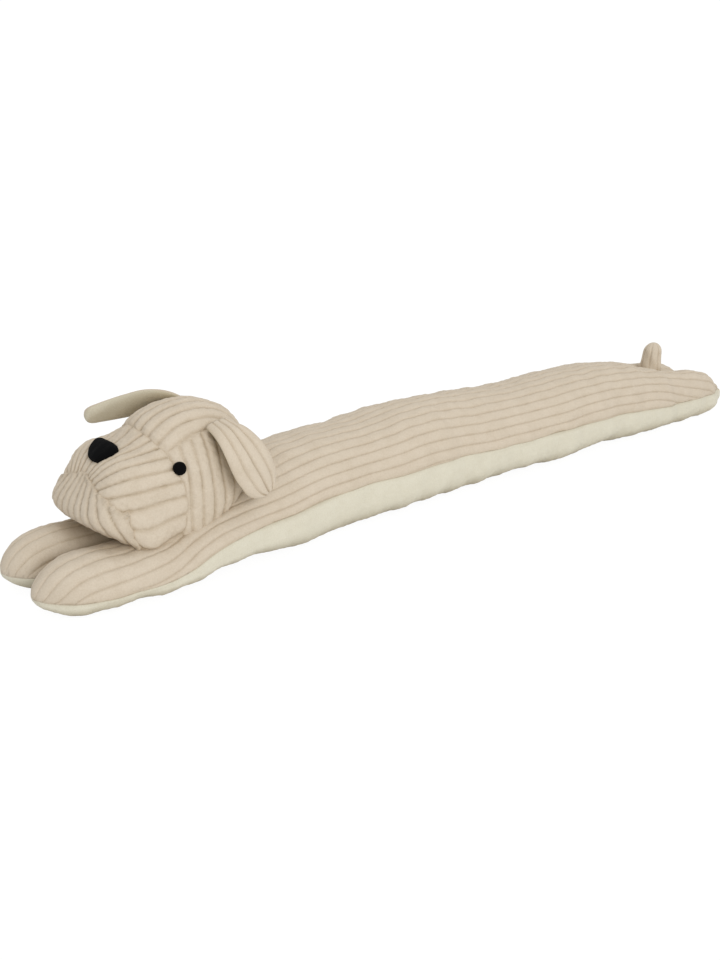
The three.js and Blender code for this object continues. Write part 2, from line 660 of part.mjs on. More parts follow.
const onBody = (solid) => fitted(solid, [bodyTop], [0, 0, 1], SEAT_GAP);
const largest = (solid) => solid.decompose().sort((a, b) => b.volume() - a.volume())[0];
const headPieces = Object.fromEntries(
  Object.entries(head()).map(([name, solid]) => [name, largest(onBody(solid))]),
);
for (const [name, solid] of Object.entries(headPieces)) group.add(meshOf(name, solid, RIBBED_PLUSH));
const { head_crown: crown, head_muzzle: muzzle, head_chin: chin } = headPieces;
const { cheek_left: cheekLeft, cheek_right: cheekRight } = headPieces;

const ears = [
  { name: 'ear_left', rows: LEFT_EAR, carriers: [crown, cheekLeft], away: [0, -0.8, 0.6] },
  { name: 'ear_right', rows: RIGHT_EAR, carriers: [crown, cheekRight], away: [0, 0.8, 0.6] },
];
for (const { name, rows, carriers, away } of ears) {
  const layer = (outer) => largest(onBody(fitted(earLayer(rows, outer), carriers, away, SEAT_GAP)));
  group.add(meshOf(name, layer(true), RIBBED_PLUSH), meshOf(`${name}_lining`, layer(false), PLAIN_PLUSH));
}

const noseAngle = THREE.MathUtils.degToRad(NOSE.angle);
const onNose = skinSpot([HEAD_CORE.x, NOSE.off, HEAD_CORE.z], [Math.cos(noseAngle), 0, Math.sin(noseAngle)]);
const nose = pad(onNose.spot, onNose.face, [0, 0, 1], noseOutline, NOSE.height);
group.add(meshOf('nose', fitted(nose, [muzzle, chin], onNose.face, SEAT_GAP), BLACK_PLUSH));

const eyeOutline = (angle) => [EYE.radius * Math.cos(angle), EYE.radius * Math.sin(angle)];
for (const [name, side, cheek] of [['eye_left', -1, cheekLeft], ['eye_right', 1, cheekRight]]) {
  const { spot, face } = skinSpot([EYE.x, 0, EYE.z], [0, side, 0]);
  const eye = pad(spot, face, [0, 0, 1], eyeOutline, EYE.height);
  group.add(meshOf(name, fitted(eye, [muzzle, cheek, crown], face, SEAT_GAP), BLACK_PLUSH));
}

const tailBottom = between(BODY_SECTIONS, TAIL.x, 'crown') - TAIL.base / 2;
group.add(meshOf('tail', onBody(tail(tailBottom)), RIBBED_PLUSH));

export default group;
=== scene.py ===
"""A stuffed draught excluder in the form of a lying dog, in wide-ribbed plush with a plain plush base.

The forms are worked out in millimetres in the frame's own axes and placed in metres: the head points to -X.
"""
import bmesh
import bpy
import math
import numpy as np
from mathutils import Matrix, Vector


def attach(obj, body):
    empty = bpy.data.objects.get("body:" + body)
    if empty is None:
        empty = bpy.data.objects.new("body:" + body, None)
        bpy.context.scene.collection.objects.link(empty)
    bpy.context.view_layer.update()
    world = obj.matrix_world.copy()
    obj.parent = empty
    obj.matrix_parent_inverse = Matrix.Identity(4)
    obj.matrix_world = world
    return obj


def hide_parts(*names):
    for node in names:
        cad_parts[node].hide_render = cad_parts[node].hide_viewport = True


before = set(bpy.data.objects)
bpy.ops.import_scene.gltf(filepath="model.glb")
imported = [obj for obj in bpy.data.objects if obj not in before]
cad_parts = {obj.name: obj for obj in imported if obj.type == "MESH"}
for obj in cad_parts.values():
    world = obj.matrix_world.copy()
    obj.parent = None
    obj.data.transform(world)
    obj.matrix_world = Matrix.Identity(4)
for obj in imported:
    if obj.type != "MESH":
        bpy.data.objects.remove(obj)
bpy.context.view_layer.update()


# Body top. The back of one long stuffed bolster, cut in one piece with the tops of the two paws and
# the two hind legs, which are lobes of its ends. It is plush with wide soft ribs along the body, and
# a seam all round, where the plush rolls under, joins it to the base.
MM = 0.001
TINY = 1e-7  # keeps a division from 0
LENGTH = 900
FRONT_END = {
    "way": -1, "depth": 34, "parting": -325, "notch": -392, "notch_length": 30, "lift": 4, "lift_start": -415,
}
REAR_END = {
    "way": 1, "depth": 48, "parting": 270, "notch": 400, "notch_length": 25, "lift": 9, "lift_start": 385,
}
BODY_SECTIONS = [
    {"x": -450, "half": 56, "crown": 39, "seam": 17},
    {"x": -415, "half": 60, "crown": 42, "seam": 14},
    {"x": -370, "half": 67, "crown": 44, "seam": 16},
    {"x": -335, "half": 69, "crown": 50, "seam": 22},
    {"x": -300, "half": 66, "crown": 60, "seam": 31},
    {"x": -260, "half": 61, "crown": 70, "seam": 35},
    {"x": -220, "half": 58, "crown": 80, "seam": 39},
    {"x": -150, "half": 57, "crown": 85, "seam": 42},
    {"x": -60, "half": 57, "crown": 91, "seam": 43},
    {"x": 60, "half": 56, "crown": 86, "seam": 40},
    {"x": 200, "half": 55, "crown": 87, "seam": 39},
    {"x": 270, "half": 52, "crown": 80, "seam": 34},
    {"x": 340, "half": 50, "crown": 66, "seam": 29},
    {"x": 400, "half": 47, "crown": 55, "seam": 27},
    {"x": 450, "half": 34, "crown": 35, "seam": 25},
]
SIDE_WAVES = [
    {"height": 1.5, "length": 21, "start": 0},
    {"height": 1, "length": 9.5, "start": 1},
]
LOBE_CENTRE = 28
LOBE_FLAT_HALF = 8
TRUNK_FLAT_HALF = 18
NOTCH_HALF = 4
NOTCH_FLARE = 10
EQUATOR_SHARE = 0.3
SIDE_POWER = 2.15
UNDER_POWER = 1.85
CREST_SHARE = 0.25
TRUNK_CREST_ANGLE = math.pi / 3
SECTION_STEPS = 160
END_STEPS = 16
MIDDLE_STEPS = 400


def mix(a, b, t):
    """The value a share t of the way from a to b."""
    return a + (b - a) * t


def ease(a, b, value):
    """From 0 at a to 1 at b, with a gentle start and stop."""
    t = np.clip((value - a) / (b - a), 0, 1)
    return t * t * (3 - 2 * t)


def between(rows, place, column, key="x"):
    """A column of a table at a place along its key column, on a smooth curve through the rows."""
    last = len(rows) - 1
    i = 1
    while i < last and rows[i][key] < place:
        i += 1
    before, a, b, after = (rows[min(max(k, 0), last)] for k in (i - 2, i - 1, i, i + 1))
    span = b[key] - a[key]
    slope_a = (b[column] - before[column]) / (b[key] - before[key])
    slope_b = (after[column] - a[column]) / (after[key] - a[key])
    t = min(max((place - a[key]) / span, 0), 1)
    return (
        (2 * t**3 - 3 * t**2 + 1) * a[column]
        + (t**3 - 2 * t**2 + t) * span * slope_a
        + (3 * t**2 - 2 * t**3) * b[column]
        + (t**3 - t**2) * span * slope_b
    )


def waves(rows, x):
    """The sum of a few sine waves at x. A wave's length is given in millimetres a radian."""
    return sum(row["height"] * math.sin(x / row["length"] + row["start"]) for row in rows)


def round_start(end):
    """Where the round stretch of one end of the body starts."""
    return end["way"] * (LENGTH / 2 - end["depth"])


def body_sizes(x):
    """Sizes of the half section of the body at x, and how far it is from the trunk's form to a lobe's."""
    end = FRONT_END if x < 0 else REAR_END
    way = end["way"]
    past_round = min(max((x - round_start(end)) * way / end["depth"], 0), 1)
    past_notch = min(max((x - end["notch"]) * way / end["notch_length"], 0), 1)
    round_off = math.sqrt(max(0, 1 - past_round**2))
    lobe = float(ease(end["parting"], end["notch"], x))
    seam = between(BODY_SECTIONS, x, "seam")
    crown = between(BODY_SECTIONS, x, "crown")
    half = between(BODY_SECTIONS, x, "half") + waves(SIDE_WAVES, x)
    lift = float(end["lift"] * ease(end["lift_start"], way * LENGTH / 2, x))
    to_lobe = lambda y: LOBE_CENTRE + (y - LOBE_CENTRE) * round_off
    to_seam = lambda z: seam + (z - seam) * round_off
    return {
        "lobe": lobe,
        "open": past_notch > 0,
        "seam": seam,
        "crown": to_seam(crown),
        "equator": to_seam(EQUATOR_SHARE * crown),
        "floor": to_seam(lift),
        "outer": to_lobe(half),
        "inner": to_lobe(NOTCH_HALF * past_notch),
        "floor_outer": to_lobe(mix(TRUNK_FLAT_HALF, LOBE_CENTRE + LOBE_FLAT_HALF, lobe)),
        "floor_inner": to_lobe(min(LOBE_CENTRE - LOBE_FLAT_HALF, (NOTCH_HALF + NOTCH_FLARE) * past_notch)),
    }


def half_section(size):
    """The half section as points (y, z), from the middle or the notch, over the back, to the floor."""
    share = np.linspace(0, 1, SECTION_STEPS + 1)
    rising = share < CREST_SHARE
    t = np.where(rising, share / CREST_SHARE, (share - CREST_SHARE) / (1 - CREST_SHARE))
    up, down = math.pi / 2, -math.pi / 2

    def over(turn, middle, outer, low):
        return np.stack([
            middle + (outer - middle) * np.abs(np.cos(turn)) ** (2 / SIDE_POWER),
            low + (size["crown"] - low) * np.abs(np.sin(turn)) ** (2 / SIDE_POWER),
        ], axis=1)

    def under(turn):
        width = size["outer"] - size["floor_outer"]
        height = size["equator"] - size["floor"]
        return np.stack([
            size["floor_outer"] + width * np.abs(np.cos(turn)) ** (2 / UNDER_POWER),
            size["equator"] - height * np.abs(np.sin(turn)) ** (2 / UNDER_POWER),
        ], axis=1)

    def outer_side(turn, middle):
        above = over(turn, middle, size["outer"], size["equator"])
        return np.where(turn[:, None] > 0, above, under(turn))

    trunk_turn = np.where(rising, mix(up, TRUNK_CREST_ANGLE, t), mix(TRUNK_CREST_ANGLE, down, t))
    trunk = outer_side(trunk_turn, 0)
    lobe_turn = np.where(rising, mix(0, up, t), mix(up, down, t))
    inner_side = over(lobe_turn, LOBE_CENTRE, size["inner"], size["seam"])
    lobe = np.where(rising[:, None], inner_side, outer_side(lobe_turn, LOBE_CENTRE))
    return mix(trunk, lobe, size["lobe"])


# A phase is a place across the ribs, in ribs, with a groove at each whole number. It is 0 in the
# middle of the trunk's back, and CREST_PHASE on the crest of a lobe.
BODY_PITCH = 11.5
TRUNK_RIBS = 8
CREST_PHASE = 2.5
FIRST_RIB, LAST_RIB = -3, 9
LEAST_SEAM_ARC = 0.1
RIB_SHARES = [0, 0.06, 0.13, 0.25, 0.5, 0.75, 0.87, 0.94]
BACK_COLUMNS = np.array([k + share for k in range(FIRST_RIB, LAST_RIB) for share in RIB_SHARES] + [LAST_RIB])


def ordered_section(size):
    """The half section with the rib phase and outward normal of its points, and the phase of the seam."""
    curve = half_section(size)
    steps = np.linalg.norm(np.diff(curve, axis=0), axis=1) + TINY
    arcs = np.concatenate([[0], np.cumsum(steps)])
    along = np.gradient(curve, arcs, axis=0)
    along /= np.linalg.norm(along, axis=1, keepdims=True) + TINY
    normals = np.stack([-along[:, 1], along[:, 0]], axis=1)
    crest = round(SECTION_STEPS * CREST_SHARE)
    below = crest + int(np.argmax(curve[crest:, 1] <= size["seam"]))
    drop = curve[below - 1, 1] - curve[below, 1]
    share = (curve[below - 1, 1] - size["seam"]) / drop if drop > TINY else 0
    seam_arc = max(mix(arcs[below - 1], arcs[below], min(max(share, 0), 1)), LEAST_SEAM_ARC)
    phase_at = lambda arc: mix(
        arc / seam_arc * TRUNK_RIBS, CREST_PHASE + (arc - arcs[crest]) / BODY_PITCH, size["lobe"],
    )
    return curve, phase_at(arcs), normals, phase_at(seam_arc)


def section_points(curve, phases, normals, wanted):
    """Points and normals of a section at the wanted phases."""
    pick = lambda values: np.stack([np.interp(wanted, phases, values[:, k]) for k in (0, 1)], axis=1)
    return pick(curve), pick(normals)


def body_places():
    """Places along the body for its sections, close together at the round ends."""
    angles = np.linspace(0, math.pi / 2, END_STEPS)
    front = round_start(FRONT_END) - FRONT_END["depth"] * np.cos(angles)
    rear = round_start(REAR_END) + REAR_END["depth"] * np.sin(angles)
    middle = np.linspace(round_start(FRONT_END), round_start(REAR_END), MIDDLE_STEPS)
    return np.concatenate([front, middle[1:-1], rear])


def spaced(x, yz, side):
    """Points (x, y, z) of a section of the left or right half."""
    return np.stack([np.full(len(yz), float(x)), side * yz[:, 0], yz[:, 1]], axis=1)


# The filling is loose and gives the plush lumps of three sizes. Heights and widths are in millimetres.
LUMP_WAVES = 7
LUMP_WIDTHS = (0.7, 1.5)
FILLING_LUMPS = [
    {"height": 1.3, "width": 80, "seed": 3},
    {"height": 0.9, "width": 30, "seed": 4, "stretch": (1, 0.6, 0.6)},
    {"height": 0.35, "width": 8, "seed": 5},
]


def lumps(points, height, width, seed, stretch=(1, 1, 1)):
    """Smooth uneven heights at points. Lumps are longer along an axis whose stretch is below 1."""
    source = np.random.default_rng(seed)
    stretched = points * np.array(stretch)
    total = 0
    for _ in range(LUMP_WAVES):
        way = source.normal(size=3)
        way *= 2 * math.pi / np.linalg.norm(way) / (width * source.uniform(*LUMP_WIDTHS))
        total = total + np.sin(stretched @ way + source.uniform(0, 2 * math.pi))
    return height * (total / (LUMP_WAVES / 2))


def stuffed(points, normals, side, amount):
    """Points of a section moved along their normals by an amount and by the lumps of the filling."""
    moved = points.copy()
    out = amount
    for lump in FILLING_LUMPS:
        out = out + lumps(points, **lump)
    moved[:, 1] += side * normals[:, 0] * out
    moved[:, 2] += normals[:, 1] * out
    return moved


# Each rib is a soft round with a narrow groove beside it, and each seam draws the plush in.
GROOVE_DEPTH = 2.2
RIB_ROUNDNESS = 0.3
SEAM_DEPTH = 1.5
SEAM_ROLL = 3
SEAM_SLOPE = 1.5
# The grooves and seams are also darkened in colour: painted shade, in the grooves partly also the pile's
# darker roots.
GROOVE_SHADE_POWER = 1.5
SEAM_SHADE = 0.15
SEAM_SHADE_REACH = 1.5
DARKEST_SHADE = 0.9


def rib_depth(phase):
    """Depth below the top of the ribs, where a groove lies at each whole number of the phase."""
    across = np.abs(2 * (phase - np.floor(phase)) - 1)
    return GROOVE_DEPTH * (RIB_ROUNDNESS * across**2 + (1 - RIB_ROUNDNESS) * across**5)


def seam_depth(inside):
    """Depth of the plush a distance inside a seam, or beyond it where the distance is below 0."""
    return np.where(
        inside > 0,
        SEAM_DEPTH * np.exp(-np.maximum(inside, 0) / SEAM_ROLL),
        SEAM_DEPTH - SEAM_SLOPE * np.minimum(inside, 0),
    )


def shading(ribs, inside, groove_shade):
    """Painted shade at a place, from its rib depth and distance inside a seam; in the grooves partly darker
    roots.
    """
    in_groove = (ribs / GROOVE_DEPTH) ** GROOVE_SHADE_POWER * groove_shade
    at_seam = SEAM_SHADE * np.exp(-np.abs(inside) / SEAM_SHADE_REACH)
    return np.clip(in_groove + at_seam, 0, DARKEST_SHADE)


BODY_RIB_SHARE = 0.6
BODY_GROOVE_SHADE = 0.38
RIB_WANDER = [
    {"height": 0.10, "length": 47, "start": 0},
    {"height": 0.07, "length": 19, "start": 2},
]
STRAIGHT_RIBS = 3
NOTCH_FADE = 5
SEAM_FADE = (-1, 2.5)


def back_row(x, side):
    """A row of the ribbed back, from the middle or the notch to the seam, and its shading."""
    size = body_sizes(x)
    curve, phases, normals, seam_phase = ordered_section(size)
    shift = waves(RIB_WANDER, x) * np.clip(BACK_COLUMNS / STRAIGHT_RIBS, 0, 1)
    phase = np.clip(BACK_COLUMNS + shift, phases[0], seam_phase)
    points, facing = section_points(curve, phases, normals, phase)
    from_seam = (seam_phase - phase) * BODY_PITCH
    from_notch = (phase - phases[0]) * BODY_PITCH
    fade = ease(0, NOTCH_FADE, from_notch) if size["open"] else 1
    ribs = BODY_RIB_SHARE * rib_depth(phase - shift) * fade * ease(*SEAM_FADE, from_seam)
    row = stuffed(spaced(x, points, side), facing, side, -ribs - seam_depth(from_seam))
    if size["open"]:
        held = phase <= phases[0]
        row[held] = spaced(x, points[held], side)
    closing = [[x, side * size["inner"], size["seam"]]]
    return np.vstack([row, closing]), np.append(shading(ribs, from_seam, BODY_GROOVE_SHADE), 0)


# The cloth is polyester plush, knitted in ribs, brushed and clipped. To the eye it is matt with a faint
# sheen and a little uneven where the pile leans another way. It is painted warmer and darker in the
# grooves, along the seams and where pieces lie close together: painted shade, in the grooves partly its
# darker roots too. A patch of leaning pile is 14 mm wide, and a crease's painted shade reaches 22 mm.
LEANING_WIDTH = 14
CREASE_REACH = 22
CREASE_SHADE = 0.4


def linear(code):
    """Linear colour of an sRGB hex code."""
    channels = [int(code[i:i + 2], 16) / 255 for i in (0, 2, 4)]
    return (*[c / 12.92 if c <= 0.04045 else ((c + 0.055) / 1.055) ** 2.4 for c in channels], 1)


def add_node(tree, kind, inputs=None, **settings):
    """Adds a node. An input that is a socket is linked, and any other value is set."""
    node = tree.nodes.new(kind)
    for name, value in settings.items():
        setattr(node, name, value)
    for key, value in (inputs or {}).items():
        if isinstance(value, bpy.types.NodeSocket):
            tree.links.new(value, node.inputs[key])
        else:
            node.inputs[key].default_value = value
    return node


def plush(name, pile, root, tuft, relief, patches, sheen):
    """A plush of one colour. tuft is the width of a tuft and relief its height, in millimetres."""
    material = bpy.data.materials.new(name)
    material.use_nodes = True
    tree = material.node_tree
    tree.nodes.clear()
    place = add_node(tree, "ShaderNodeTexCoord").outputs["Object"]
    tufts = add_node(tree, "ShaderNodeTexNoise", {
        "Vector": place, "Scale": 1 / (tuft * MM), "Detail": 3.0, "Roughness": 0.6,
    }).outputs["Fac"]
    leaning = add_node(tree, "ShaderNodeTexNoise", {
        "Vector": place, "Scale": 1 / (LEANING_WIDTH * MM), "Detail": 2.0,
    }).outputs["Fac"]
    # Ambient occlusion paints shade into the colour where other surfaces lie close, in creases and between
    # pieces.
    clear_around = add_node(
        tree, "ShaderNodeAmbientOcclusion", {"Distance": CREASE_REACH * MM}, samples=8,
    ).outputs["AO"]
    patch = add_node(tree, "ShaderNodeMapRange", {
        "Value": leaning, "From Min": 0.3, "From Max": 0.7, "To Min": patches, "To Max": -patches / 2,
    })
    speck = add_node(tree, "ShaderNodeMapRange", {
        "Value": tufts, "From Min": 0.3, "From Max": 0.7, "To Min": 0.16, "To Max": -0.04,
    })
    crease = add_node(tree, "ShaderNodeMapRange", {
        "Value": clear_around, "From Min": 0.2, "From Max": 0.9, "To Min": CREASE_SHADE, "To Max": 0.0,
    })
    # The groove attribute is the painted shade of grooves and seams, and the ear lining's darker tint.
    groove = add_node(tree, "ShaderNodeAttribute", attribute_name="groove")
    shade = patch.outputs["Result"]
    for darker in (speck.outputs["Result"], crease.outputs["Result"], groove.outputs["Fac"]):
        shade = add_node(tree, "ShaderNodeMath", {0: shade, 1: darker}, operation="ADD").outputs["Value"]
    # The root colour at the dark end also serves as the colour of all painted shade.
    colour = add_node(tree, "ShaderNodeValToRGB", {"Fac": shade})
    colour.color_ramp.elements[0].color = linear(pile)
    colour.color_ramp.elements[1].color = linear(root)
    bump = add_node(tree, "ShaderNodeBump", {"Height": tufts, "Strength": 0.6, "Distance": relief * MM})
    surface = add_node(tree, "ShaderNodeBsdfPrincipled", {
        "Base Color": colour.outputs["Color"],
        "Normal": bump.outputs["Normal"],
        "Roughness": 0.92,
        "Specular IOR Level": 0.12,
        "Sheen Weight": sheen,
        "Sheen Roughness": 0.45,
    })
    add_node(tree, "ShaderNodeOutputMaterial", {"Surface": surface.outputs["BSDF"]})
    return material


# Its real tufts are about 0.5 mm wide, too fine to show from here, and are drawn 1.3 mm wide.
# Its root colour is also the colour of its painted shade in grooves, seams and creases.
RIBBED_PLUSH = plush(
    "ribbed plush, clipped pile", pile="d6c9b6", root="a08a68",
    tuft=1.3, relief=0.5, patches=0.07, sheen=0.10,
)

SAME_PLACE = 2e-6  # points closer than this, in metres, are one point


def grid_faces(row_count, column_count, wrapped=False):
    """Four-sided faces between the rows of a grid of points."""
    index = np.arange(row_count * column_count).reshape(row_count, column_count)
    if wrapped:
        index = np.hstack([index, index[:, :1]])
    corners = [index[:-1, :-1], index[:-1, 1:], index[1:, 1:], index[1:, :-1]]
    return np.stack([corner.ravel() for corner in corners], axis=1)


def add_piece(name, points, faces, groove, material):
    """Adds one stuffed piece that stands for the CAD node of the same name."""
    mesh = bpy.data.meshes.new(name)
    mesh.from_pydata((np.asarray(points) * MM).tolist(), [], [list(face) for face in faces])
    # Each piece carries its painted shade as the groove attribute, which the plush material reads.
    shades = mesh.attributes.new("groove", "FLOAT", "POINT")
    shades.data.foreach_set("value", np.asarray(groove, dtype=np.float32))
    shape = bmesh.new()
    shape.from_mesh(mesh)
    bmesh.ops.remove_doubles(shape, verts=shape.verts, dist=SAME_PLACE)
    bmesh.ops.recalc_face_normals(shape, faces=shape.faces)
    shape.to_mesh(mesh)
    shape.free()
    mesh.shade_smooth()
    mesh.materials.append(material)
    piece = bpy.data.objects.new(name + "_plush", mesh)
    bpy.context.scene.collection.objects.link(piece)
    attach(piece, "root")
    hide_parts(name)
    return piece


def body_piece(name, row_at, skip, material):
    """Makes one panel of the body from the rows of both halves, which meet at the middle of a section
    that has no notch. skip lists the columns that are left open there."""
    places = body_places()
    closed = np.array([not body_sizes(x)["open"] for x in places])
    points, faces, groove = [], [], []
    for side in (-1, 1):
        rows = [row_at(x, side) for x in places]
        count = len(rows[0][0])
        start = sum(len(part) for part in points)
        half = grid_faces(len(places), count, wrapped=True)
        station, column = half[:, 0] // count, half[:, 0] % count
        both_closed = closed[station] & closed[np.minimum(station + 1, len(places) - 1)]
        shown = ~(both_closed & np.isin(column, skip))
        points.append(np.vstack([row for row, _ in rows]))
        groove.append(np.concatenate([values for _, values in rows]))
        faces.append(half[shown] + start)
    return add_piece(name, np.vstack(points), np.vstack(faces), np.concatenate(groove), material)


body_piece("body_top", back_row, [len(BACK_COLUMNS)], RIBBED_PLUSH)


# Body base. The underside and the lower side of the bolster, one panel of plain plush sewn to the
# top all round. Its upper edge is drawn into small puckers by the seam, its side sags in slow
# waves, and it is flat where it lies on the floor.
BASE_COLUMNS = np.linspace(0, 1, 34)
COLUMN_CROWDING = 1.3
WALL_STEPS = 9
SEAM_PUCKERS = {"height": 0.6, "width": 26, "seed": 8, "stretch": (1, 0.6, 0.25)}
PUCKER_REACH = 16
SAG_WAVES = {"height": 2.8, "width": 105, "seed": 9, "stretch": (1, 0.4, 0.3)}
SAG_START = 4
LEAST_FLOOR = 3.0

# The cloth is polyester plush with a short, even pile, clipped smooth. To the eye it is paler than
# the ribbed plush and a little greener, matt and almost even. Its tufts are drawn 1 mm wide, since
# the real ones, about half of that, are too fine to show.
# Its root colour is also the colour of its painted shade along the seam and in creases.
PLAIN_PLUSH = plush(
    "plain plush, smooth short pile", pile="ddd8c6", root="a4936f",
    tuft=1.0, relief=0.3, patches=0.05, sheen=0.10,
)


def base_row(x, side):
    """A row of the plain base: from the seam down the side, across the floor and up to the notch."""
    size = body_sizes(x)
    curve, phases, normals, seam_phase = ordered_section(size)
    phase = mix(seam_phase, phases[-1], BASE_COLUMNS**COLUMN_CROWDING)
    points, facing = section_points(curve, phases, normals, phase)
    from_seam = (phase - seam_phase) * BODY_PITCH
    row = spaced(x, points, side)
    pucker = lumps(row, **SEAM_PUCKERS) * np.exp(-from_seam / PUCKER_REACH) + lumps(row, **SAG_WAVES)
    row = stuffed(row, facing, side, pucker * ease(0, SAG_START, from_seam) - seam_depth(from_seam))
    row[:, 2] = np.maximum(row[:, 2], min(size["floor"], LEAST_FLOOR))
    share = np.linspace(0, 1, WALL_STEPS)[::-1]
    wall = np.stack([
        size["inner"] + (size["floor_inner"] - size["inner"]) * share**2,
        mix(size["seam"], size["floor"], share),
    ], axis=1)
    # The base is painted darker along its seam: painted shade where the plush rolls under.
    return np.vstack([row, spaced(x, wall, side)]), np.append(shading(0, from_seam, 0), np.zeros(len(wall)))


base_count = len(BASE_COLUMNS)
wall_columns = range(base_count, base_count + WALL_STEPS - 1)
body_piece("body_base", base_row, wall_columns, PLAIN_PLUSH)


# Head. A stuffed head on top of the front end, of two rounded forms that run into each other, the
# cranium and the muzzle. It is sewn from five panels of the ribbed plush: the crown, the muzzle, the
# chin and two cheeks. Each has its own ribs and rolls under at its seams.
CRANIUM = {"middle": (-307, 88), "reach": (56, 50, 48), "power": 2, "taper": 0.05, "lean": 0, "tilt": 0}
MUZZLE = {
    "middle": (-340, 64.5), "reach": (54, 50, 37.5), "power": 4, "taper": 0.02, "lean": 0.6, "tilt": 0.43,
}
TAPER_SHIFT = 0.3
HEAD_BLEND = 16
HEAD_CORE = np.array([-325.0, 0, 80])
SKIN_REACH = 160.0
SKIN_HALVINGS = 26
NORMAL_STEP = 0.4
HEAD_GIRTH = 2 * math.pi * 52
HEAD_STEP = 0.9
END_CROWDING = 1.25
END_GAP = 0.05


def outside(form, points):
    """How far points lie outside, above 0, or inside one rounded form of the head."""
    (middle_x, middle_z), (reach_x, reach_y, reach_z) = form["middle"], form["reach"]
    rise = points[..., 2] - middle_z + form["tilt"] * (points[..., 0] - middle_x)
    narrow = 1 - form["taper"] * np.clip(rise / reach_z + TAPER_SHIFT, -1, 1 + TAPER_SHIFT)
    forward = points[..., 0] - middle_x - form["lean"] * rise
    terms = np.stack([forward / reach_x, points[..., 1] / (reach_y * narrow), rise / reach_z])
    total = (np.abs(terms) ** form["power"]).sum(axis=0)
    return (total ** (1 / form["power"]) - 1) * reach_z


def head_field(points):
    """Zero on the head's skin and below 0 inside it."""
    a, b = outside(CRANIUM, points), outside(MUZZLE, points)
    near = np.maximum(HEAD_BLEND - np.abs(a - b), 0) / HEAD_BLEND
    return np.minimum(a, b) - near**2 * HEAD_BLEND / 4


def on_skin(start, direction):
    """The points of the skin straight out from points inside the head."""
    low, high = np.zeros(start.shape[:-1]), np.full(start.shape[:-1], SKIN_REACH)
    for _ in range(SKIN_HALVINGS):
        middle = (low + high) / 2
        inside = head_field(start + direction * middle[..., None]) < 0
        low, high = np.where(inside, middle, low), np.where(inside, high, middle)
    return start + direction * low[..., None]


def skin_normals(points):
    """Outward normals of the skin at points on it."""
    steps = NORMAL_STEP * np.eye(3)
    slope = np.stack([head_field(points + step) - head_field(points - step) for step in steps], axis=-1)
    return slope / np.linalg.norm(slope, axis=-1, keepdims=True)


def head_grid(axis):
    """A grid of skin points in rings around the X or Y axis through the head's core."""
    way = np.eye(3)[axis]
    ends = [on_skin(HEAD_CORE, sign * way)[axis] for sign in (-1, 1)]
    steps = math.ceil((ends[1] - ends[0]) * END_CROWDING / HEAD_STEP)
    spread = 0.5 - 0.5 * np.cos(np.linspace(0, math.pi, steps))
    places = mix(ends[0] + END_GAP, ends[1] - END_GAP, spread)
    ring = math.ceil(HEAD_GIRTH / HEAD_STEP)
    angles = np.arange(ring) / ring * 2 * math.pi
    start = np.where(np.arange(3) == axis, places[:, None], HEAD_CORE)[:, None, :].repeat(ring, axis=1)
    others = [k for k in range(3) if k != axis]
    direction = np.zeros((ring, 3))
    direction[:, others[0]], direction[:, others[1]] = np.cos(angles), np.sin(angles)
    return on_skin(start, direction[None].repeat(steps, axis=0))


# The seam lines of the panels, drawn as closed outlines in the side view (x, z) or the front view
# (y, z). Where two panels meet, the plush is a little uneven along the seam.
MUZZLE_SIDE = [
    (-354, 170), (-348, 121), (-344, 114), (-340, 106), (-335, 93), (-332, 80), (-330, 66), (-332, 54),
    (-337, 40), (-343, 20), (-343, 0), (-470, 0), (-470, 170),
]
CHEEK_SIDE = [
    (-362, 98), (-340, 106), (-330, 111), (-318, 115), (-304, 119), (-286, 117), (-262, 105), (-240, 88),
    (-220, 70), (-220, 10), (-370, 10), (-370, 90),
]
CHIN_FRONT = [
    (0, 93), (-10, 90), (-22, 87), (-34, 83), (-42, 78), (-47, 71), (-54, 65), (-62, 60), (-62, 10),
    (62, 10), (62, 60), (54, 65), (47, 71), (42, 78), (34, 83), (22, 87), (10, 90),
]
CHIN_SIDE = [
    (-470, 120), (-376, 120), (-380, 72), (-380, 60), (-375, 51), (-371, 42), (-362, 10), (-470, 10),
]
CHEEK_DEPTH = 14
CORNER_ROUNDS = 3
CORNER_CUT = 0.25
FRONT_SEAM_WANDER = {"height": 0.6, "width": 9, "seed": 61}
CHIN_SEAM_WANDER = {"height": 0.5, "width": 8, "seed": 62}


def rounded(outline):
    """A closed outline with its corners cut off again and again."""
    points = np.array(outline, float)
    for _ in range(CORNER_ROUNDS):
        after = np.roll(points, -1, axis=0)
        cuts = [mix(points, after, CORNER_CUT), mix(points, after, 1 - CORNER_CUT)]
        points = np.stack(cuts, axis=1).reshape(-1, 2)
    return points


def within(outline, a, b):
    """Signed distance of points (a, b) inside a closed outline, below 0 outside it."""
    points = np.stack([a, b], axis=-1)
    nearest = np.full(a.shape, np.inf)
    crossings = np.zeros(a.shape, bool)
    corners = rounded(outline)
    for p, q in zip(corners, np.roll(corners, -1, axis=0)):
        edge = q - p
        t = np.clip(((points - p) @ edge) / (edge @ edge), 0, 1)
        nearest = np.minimum(nearest, np.linalg.norm(points - p - t[..., None] * edge, axis=-1))
        if p[1] != q[1]:
            crossings ^= ((p[1] > b) != (q[1] > b)) & (a < p[0] + (b - p[1]) * edge[0] / edge[1])
    return np.where(crossings, nearest, -nearest)


